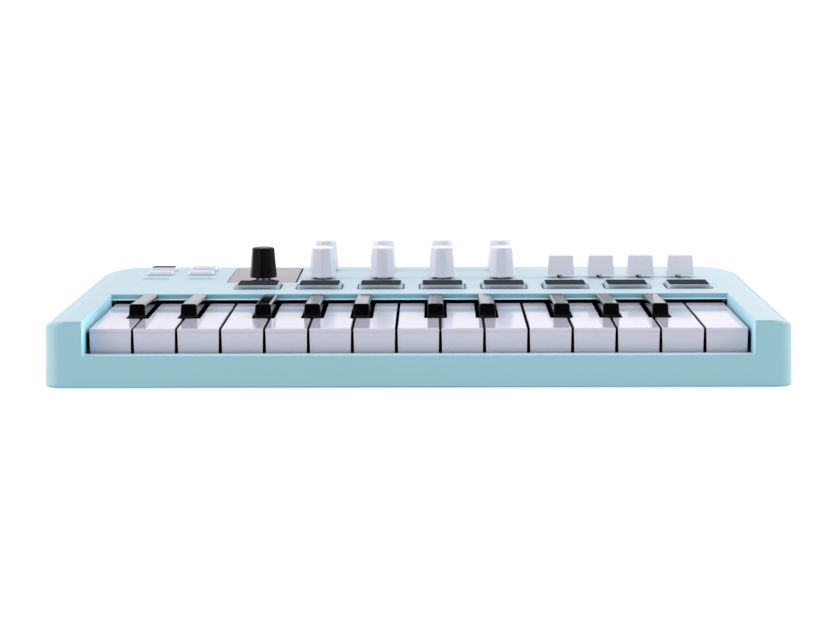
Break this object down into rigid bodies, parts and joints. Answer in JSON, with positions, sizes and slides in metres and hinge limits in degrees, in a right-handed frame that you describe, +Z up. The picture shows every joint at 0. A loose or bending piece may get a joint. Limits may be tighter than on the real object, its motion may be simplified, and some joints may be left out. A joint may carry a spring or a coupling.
{
  "type": "midi keyboard",
  "caption": "Compact desktop keyboard controller with piano-style keys, drum pads, endless knobs, faders, touch strips and a small display.",
  "frame": {"origin": "middle of the footprint, on the desk surface under the rubber feet", "axes": "+X to the treble end of the keys, +Y from the front rail to the rear sockets, +Z up"},
  "size_m": [0.356, 0.22, 0.051],
  "materials": {
    "mint_shell": "fine moulded grain, satin",
    "white_key_gloss": "polished, faintly lavender white",
    "black_key_satin": "satin black",
    "white_knob_plastic": "soft satin",
    "black_knob_plastic": "soft satin",
    "pad_silicone": "silicone, dark matt top with a pale translucent skirt",
    "white_button": "translucent silicone",
    "black_button": "matt silicone",
    "plated_steel": "nickel plated",
    "window_gloss": "polished black",
    "circuit_board": "dark solder mask over glass-epoxy board",
    "black_chassis_plastic": "moulded",
    "rubber_foot": "matt"
  },
  "bodies": {
    "chassis": {"top_cover": "mint_shell", "bottom_cover": "mint_shell", "keybed_chassis": "black_chassis_plastic", "key_contact_board": "circuit_board", "control_board": "circuit_board", "socket_board": "plated_steel", "display_window": "window_gloss", "front_rubber_foot": "rubber_foot", "rear_rubber_foot": "rubber_foot"},
    "white_key_01_c": {"white_key_01_c": "white_key_gloss"},
    "white_key_02_d": {"white_key_02_d": "white_key_gloss"},
    "white_key_03_e": {"white_key_03_e": "white_key_gloss"},
    "white_key_04_f": {"white_key_04_f": "white_key_gloss"},
    "white_key_05_g": {"white_key_05_g": "white_key_gloss"},
    "white_key_06_a": {"white_key_06_a": "white_key_gloss"},
    "white_key_07_b": {"white_key_07_b": "white_key_gloss"},
    "white_key_08_c": {"white_key_08_c": "white_key_gloss"},
    "white_key_09_d": {"white_key_09_d": "white_key_gloss"},
    "white_key_10_e": {"white_key_10_e": "white_key_gloss"},
    "white_key_11_f": {"white_key_11_f": "white_key_gloss"},
    "white_key_12_g": {"white_key_12_g": "white_key_gloss"},
    "white_key_13_a": {"white_key_13_a": "white_key_gloss"},
    "white_key_14_b": {"white_key_14_b": "white_key_gloss"},
    "white_key_15_c": {"white_key_15_c": "white_key_gloss"},
    "black_key_01_c_sharp": {"black_key_01_c_sharp": "black_key_satin"},
    "black_key_02_d_sharp": {"black_key_02_d_sharp": "black_key_satin"},
    "black_key_03_f_sharp": {"black_key_03_f_sharp": "black_key_satin"},
    "black_key_04_g_sharp": {"black_key_04_g_sharp": "black_key_satin"},
    "black_key_05_a_sharp": {"black_key_05_a_sharp": "black_key_satin"},
    "black_key_06_c_sharp": {"black_key_06_c_sharp": "black_key_satin"},
    "black_key_07_d_sharp": {"black_key_07_d_sharp": "black_key_satin"},
    "black_key_08_f_sharp": {"black_key_08_f_sharp": "black_key_satin"},
    "black_key_09_g_sharp": {"black_key_09_g_sharp": "black_key_satin"},
    "black_key_10_a_sharp": {"black_key_10_a_sharp": "black_key_satin"},
    "encoder_knob_1": {"encoder_knob_1": "white_knob_plastic"},
    "encoder_knob_2": {"encoder_knob_2": "white_knob_plastic"},
    "encoder_knob_3": {"encoder_knob_3": "white_knob_plastic"},
    "encoder_knob_4": {"encoder_knob_4": "white_knob_plastic"},
    "encoder_knob_5": {"encoder_knob_5": "white_knob_plastic"},
    "encoder_knob_6": {"encoder_knob_6": "white_knob_plastic"},
    "encoder_knob_7": {"encoder_knob_7": "white_knob_plastic"},
    "encoder_knob_8": {"encoder_knob_8": "white_knob_plastic"},
    "selector_shaft": {"selector_shaft": "plated_steel"},
    "selector_knob": {"selector_knob": "black_knob_plastic"},
    "fader_cap_1": {"fader_cap_1": "white_knob_plastic"},
    "fader_cap_2": {"fader_cap_2": "white_knob_plastic"},
    "fader_cap_3": {"fader_cap_3": "white_knob_plastic"},
    "fader_cap_4": {"fader_cap_4": "white_knob_plastic"},
    "pad_1": {"pad_1": "pad_silicone"},
    "pad_2": {"pad_2": "pad_silicone"},
    "pad_3": {"pad_3": "pad_silicone"},
    "pad_4": {"pad_4": "pad_silicone"},
    "pad_5": {"pad_5": "pad_silicone"},
    "pad_6": {"pad_6": "pad_silicone"},
    "pad_7": {"pad_7": "pad_silicone"},
    "pad_8": {"pad_8": "pad_silicone"},
    "octave_down_button": {"octave_down_button": "white_button"},
    "octave_up_button": {"octave_up_button": "white_button"},
    "shift_button": {"shift_button": "black_button"},
    "hold_button": {"hold_button": "white_button"}
  },
  "joints": [
    {"name": "white_key_01_c_press", "type": "hinge", "parent": "chassis", "child": "white_key_01_c", "pos_m": [0, 0.018, 0.0197], "axis": [1, 0, 0], "range_deg": [0, 3.9], "stiffness_Nm_per_rad": 0.25, "springref_deg": -11.46},
    {"name": "white_key_02_d_press", "type": "hinge", "parent": "chassis", "child": "white_key_02_d", "pos_m": [0, 0.018, 0.0197], "axis": [1, 0, 0], "range_deg": [0, 3.9], "stiffness_Nm_per_rad": 0.25, "springref_deg": -11.46},
    {"name": "white_key_03_e_press", "type": "hinge", "parent": "chassis", "child": "white_key_03_e", "pos_m": [0, 0.018, 0.0197], "axis": [1, 0, 0], "range_deg": [0, 3.9], "stiffness_Nm_per_rad": 0.25, "springref_deg": -11.46},
    {"name": "white_key_04_f_press", "type": "hinge", "parent": "chassis", "child": "white_key_04_f", "pos_m": [0, 0.018, 0.0197], "axis": [1, 0, 0], "range_deg": [0, 3.9], "stiffness_Nm_per_rad": 0.25, "springref_deg": -11.46},
    {"name": "white_key_05_g_press", "type": "hinge", "parent": "chassis", "child": "white_key_05_g", "pos_m": [0, 0.018, 0.0197], "axis": [1, 0, 0], "range_deg": [0, 3.9], "stiffness_Nm_per_rad": 0.25, "springref_deg": -11.46},
    {"name": "white_key_06_a_press", "type": "hinge", "parent": "chassis", "child": "white_key_06_a", "pos_m": [0, 0.018, 0.0197], "axis": [1, 0, 0], "range_deg": [0, 3.9], "stiffness_Nm_per_rad": 0.25, "springref_deg": -11.46},
    {"name": "white_key_07_b_press", "type": "hinge", "parent": "chassis", "child": "white_key_07_b", "pos_m": [0, 0.018, 0.0197], "axis": [1, 0, 0], "range_deg": [0, 3.9], "stiffness_Nm_per_rad": 0.25, "springref_deg": -11.46},
    {"name": "white_key_08_c_press", "type": "hinge", "parent": "chassis", "child": "white_key_08_c", "pos_m": [0, 0.018, 0.0197], "axis": [1, 0, 0], "range_deg": [0, 3.9], "stiffness_Nm_per_rad": 0.25, "springref_deg": -11.46},
    {"name": "white_key_09_d_press", "type": "hinge", "parent": "chassis", "child": "white_key_09_d", "pos_m": [0, 0.018, 0.0197], "axis": [1, 0, 0], "range_deg": [0, 3.9], "stiffness_Nm_per_rad": 0.25, "springref_deg": -11.46},
    {"name": "white_key_10_e_press", "type": "hinge", "parent": "chassis", "child": "white_key_10_e", "pos_m": [0, 0.018, 0.0197], "axis": [1, 0, 0], "range_deg": [0, 3.9], "stiffness_Nm_per_rad": 0.25, "springref_deg": -11.46},
    {"name": "white_key_11_f_press", "type": "hinge", "parent": "chassis", "child": "white_key_11_f", "pos_m": [0, 0.018, 0.0197], "axis": [1, 0, 0], "range_deg": [0, 3.9], "stiffness_Nm_per_rad": 0.25, "springref_deg": -11.46},
    {"name": "white_key_12_g_press", "type": "hinge", "parent": "chassis", "child": "white_key_12_g", "pos_m": [0, 0.018, 0.0197], "axis": [1, 0, 0], "range_deg": [0, 3.9], "stiffness_Nm_per_rad": 0.25, "springref_deg": -11.46},
    {"name": "white_key_13_a_press", "type": "hinge", "parent": "chassis", "child": "white_key_13_a", "pos_m": [0, 0.018, 0.0197], "axis": [1, 0, 0], "range_deg": [0, 3.9], "stiffness_Nm_per_rad": 0.25, "springref_deg": -11.46},
    {"name": "white_key_14_b_press", "type": "hinge", "parent": "chassis", "child": "white_key_14_b", "pos_m": [0, 0.018, 0.0197], "axis": [1, 0, 0], "range_deg": [0, 3.9], "stiffness_Nm_per_rad": 0.25, "springref_deg": -11.46},
    {"name": "white_key_15_c_press", "type": "hinge", "parent": "chassis", "child": "white_key_15_c", "pos_m": [0, 0.018, 0.0197], "axis": [1, 0, 0], "range_deg": [0, 3.9], "stiffness_Nm_per_rad": 0.25, "springref_deg": -11.46},
    {"name": "black_key_01_c_sharp_press", "type": "hinge", "parent": "chassis", "child": "black_key_01_c_sharp", "pos_m": [0, 0.018, 0.0197], "axis": [1, 0, 0], "range_deg": [0, 3.7], "stiffness_Nm_per_rad": 0.25, "springref_deg": -11.46},
    {"name": "black_key_02_d_sharp_press", "type": "hinge", "parent": "chassis", "child": "black_key_02_d_sharp", "pos_m": [0, 0.018, 0.0197], "axis": [1, 0, 0], "range_deg": [0, 3.7], "stiffness_Nm_per_rad": 0.25, "springref_deg": -11.46},
    {"name": "black_key_03_f_sharp_press", "type": "hinge", "parent": "chassis", "child": "black_key_03_f_sharp", "pos_m": [0, 0.018, 0.0197], "axis": [1, 0, 0], "range_deg": [0, 3.7], "stiffness_Nm_per_rad": 0.25, "springref_deg": -11.46},
    {"name": "black_key_04_g_sharp_press", "type": "hinge", "parent": "chassis", "child": "black_key_04_g_sharp", "pos_m": [0, 0.018, 0.0197], "axis": [1, 0, 0], "range_deg": [0, 3.7], "stiffness_Nm_per_rad": 0.25, "springref_deg": -11.46},
    {"name": "black_key_05_a_sharp_press", "type": "hinge", "parent": "chassis", "child": "black_key_05_a_sharp", "pos_m": [0, 0.018, 0.0197], "axis": [1, 0, 0], "range_deg": [0, 3.7], "stiffness_Nm_per_rad": 0.25, "springref_deg": -11.46},
    {"name": "black_key_06_c_sharp_press", "type": "hinge", "parent": "chassis", "child": "black_key_06_c_sharp", "pos_m": [0, 0.018, 0.0197], "axis": [1, 0, 0], "range_deg": [0, 3.7], "stiffness_Nm_per_rad": 0.25, "springref_deg": -11.46},
    {"name": "black_key_07_d_sharp_press", "type": "hinge", "parent": "chassis", "child": "black_key_07_d_sharp", "pos_m": [0, 0.018, 0.0197], "axis": [1, 0, 0], "range_deg": [0, 3.7], "stiffness_Nm_per_rad": 0.25, "springref_deg": -11.46},
    {"name": "black_key_08_f_sharp_press", "type": "hinge", "parent": "chassis", "child": "black_key_08_f_sharp", "pos_m": [0, 0.018, 0.0197], "axis": [1, 0, 0], "range_deg": [0, 3.7], "stiffness_Nm_per_rad": 0.25, "springref_deg": -11.46},
    {"name": "black_key_09_g_sharp_press", "type": "hinge", "parent": "chassis", "child": "black_key_09_g_sharp", "pos_m": [0, 0.018, 0.0197], "axis": [1, 0, 0], "range_deg": [0, 3.7], "stiffness_Nm_per_rad": 0.25, "springref_deg": -11.46},
    {"name": "black_key_10_a_sharp_press", "type": "hinge", "parent": "chassis", "child": "black_key_10_a_sharp", "pos_m": [0, 0.018, 0.0197], "axis": [1, 0, 0], "range_deg": [0, 3.7], "stiffness_Nm_per_rad": 0.25, "springref_deg": -11.46},
    {"name": "encoder_knob_1_turn", "type": "hinge", "parent": "chassis", "child": "encoder_knob_1", "pos_m": [-0.05275, 0.0915, 0.04], "axis": [0, 0, 1], "continuous": true},
    {"name": "encoder_knob_2_turn", "type": "hinge", "parent": "chassis", "child": "encoder_knob_2", "pos_m": [-0.02029, 0.0915, 0.04], "axis": [0, 0, 1], "continuous": true},
    {"name": "encoder_knob_3_turn", "type": "hinge", "parent": "chassis", "child": "encoder_knob_3", "pos_m": [0.01216, 0.0915, 0.04], "axis": [0, 0, 1], "continuous": true},
    {"name": "encoder_knob_4_turn", "type": "hinge", "parent": "chassis", "child": "encoder_knob_4", "pos_m": [0.04462, 0.0915, 0.04], "axis": [0, 0, 1], "continuous": true},
    {"name": "encoder_knob_5_turn", "type": "hinge", "parent": "chassis", "child": "encoder_knob_5", "pos_m": [-0.05275, 0.0533, 0.04], "axis": [0, 0, 1], "continuous": true},
    {"name": "encoder_knob_6_turn", "type": "hinge", "parent": "chassis", "child": "encoder_knob_6", "pos_m": [-0.02029, 0.0533, 0.04], "axis": [0, 0, 1], "continuous": true},
    {"name": "encoder_knob_7_turn", "type": "hinge", "parent": "chassis", "child": "encoder_knob_7", "pos_m": [0.01216, 0.0533, 0.04], "axis": [0, 0, 1], "continuous": true},
    {"name": "encoder_knob_8_turn", "type": "hinge", "parent": "chassis", "child": "encoder_knob_8", "pos_m": [0.04462, 0.0533, 0.04], "axis": [0, 0, 1], "continuous": true},
    {"name": "selector_push", "type": "slide", "parent": "chassis", "child": "selector_shaft", "axis": [0, 0, -1], "range_m": [0, 0.0007], "stiffness_N_per_m": 400, "springref_m": -0.005},
    {"name": "selector_turn", "type": "hinge", "parent": "selector_shaft", "child": "selector_knob", "pos_m": [-0.0852, 0.0533, 0.04], "axis": [0, 0, 1], "continuous": true},
    {"name": "fader_cap_1_slide", "type": "slide", "parent": "chassis", "child": "fader_cap_1", "axis": [0, 1, 0], "range_m": [-0.004, 0.031]},
    {"name": "fader_cap_2_slide", "type": "slide", "parent": "chassis", "child": "fader_cap_2", "axis": [0, 1, 0], "range_m": [-0.004, 0.031]},
    {"name": "fader_cap_3_slide", "type": "slide", "parent": "chassis", "child": "fader_cap_3", "axis": [0, 1, 0], "range_m": [-0.004, 0.031]},
    {"name": "fader_cap_4_slide", "type": "slide", "parent": "chassis", "child": "fader_cap_4", "axis": [0, 1, 0], "range_m": [-0.004, 0.031]},
    {"name": "pad_1_press", "type": "slide", "parent": "chassis", "child": "pad_1", "axis": [0, 0, -1], "range_m": [0, 0.001], "stiffness_N_per_m": 250, "springref_m": -0.003},
    {"name": "pad_2_press", "type": "slide", "parent": "chassis", "child": "pad_2", "axis": [0, 0, -1], "range_m": [0, 0.001], "stiffness_N_per_m": 250, "springref_m": -0.003},
    {"name": "pad_3_press", "type": "slide", "parent": "chassis", "child": "pad_3", "axis": [0, 0, -1], "range_m": [0, 0.001], "stiffness_N_per_m": 250, "springref_m": -0.003},
    {"name": "pad_4_press", "type": "slide", "parent": "chassis", "child": "pad_4", "axis": [0, 0, -1], "range_m": [0, 0.001], "stiffness_N_per_m": 250, "springref_m": -0.003},
    {"name": "pad_5_press", "type": "slide", "parent": "chassis", "child": "pad_5", "axis": [0, 0, -1], "range_m": [0, 0.001], "stiffness_N_per_m": 250, "springref_m": -0.003},
    {"name": "pad_6_press", "type": "slide", "parent": "chassis", "child": "pad_6", "axis": [0, 0, -1], "range_m": [0, 0.001], "stiffness_N_per_m": 250, "springref_m": -0.003},
    {"name": "pad_7_press", "type": "slide", "parent": "chassis", "child": "pad_7", "axis": [0, 0, -1], "range_m": [0, 0.001], "stiffness_N_per_m": 250, "springref_m": -0.003},
    {"name": "pad_8_press", "type": "slide", "parent": "chassis", "child": "pad_8", "axis": [0, 0, -1], "range_m": [0, 0.001], "stiffness_N_per_m": 250, "springref_m": -0.003},
    {"name": "octave_down_button_press", "type": "slide", "parent": "chassis", "child": "octave_down_button", "axis": [0, 0, -1], "range_m": [0, 0.0008], "stiffness_N_per_m": 100, "springref_m": -0.004},
    {"name": "octave_up_button_press", "type": "slide", "parent": "chassis", "child": "octave_up_button", "axis": [0, 0, -1], "range_m": [0, 0.0008], "stiffness_N_per_m": 100, "springref_m": -0.004},
    {"name": "shift_button_press", "type": "slide", "parent": "chassis", "child": "shift_button", "axis": [0, 0, -1], "range_m": [0, 0.0008], "stiffness_N_per_m": 100, "springref_m": -0.004},
    {"name": "hold_button_press", "type": "slide", "parent": "chassis", "child": "hold_button", "axis": [0, 0, -1], "range_m": [0, 0.0008], "stiffness_N_per_m": 100, "springref_m": -0.004}
  ]
}
